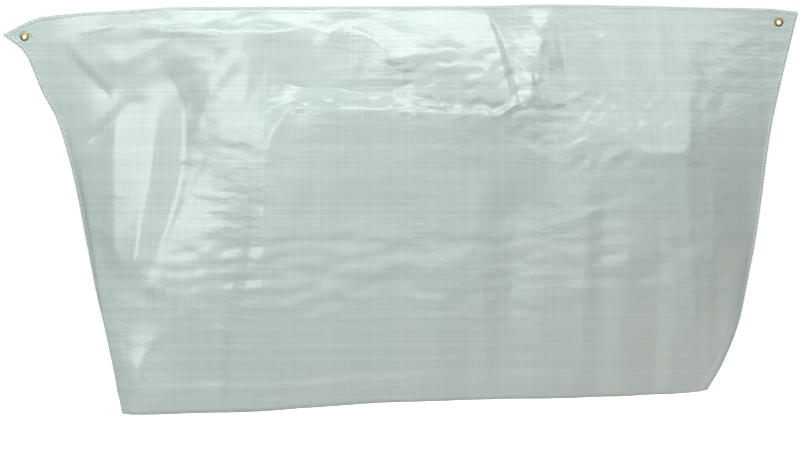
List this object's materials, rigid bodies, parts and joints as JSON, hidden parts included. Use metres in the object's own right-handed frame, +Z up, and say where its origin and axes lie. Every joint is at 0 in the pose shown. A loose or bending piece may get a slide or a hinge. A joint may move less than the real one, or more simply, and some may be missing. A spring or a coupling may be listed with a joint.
{
  "type": "bicycle cover",
  "caption": "Hollow cover draped as over a bicycle: sheets of coated woven cloth sewn along the top and sides, hemmed below, with brass corner eyelets.",
  "frame": {"origin": "under the middle of the top seam, between the sheets, where what is covered holds the cover up", "axes": "+X along the cover, +Y from the front sheet to the back sheet, +Z up"},
  "size_m": [2.1, 0.3746, 1.0543],
  "materials": {
    "cloth": "glossy coated weave",
    "brass": "satin"
  },
  "bodies": {
    "root": {"panel_front": "cloth", "panel_back": "cloth", "corner_left": "cloth", "corner_right": "cloth", "eyelet_left": "brass", "eyelet_right": "brass"}
  },
  "joints": []
}
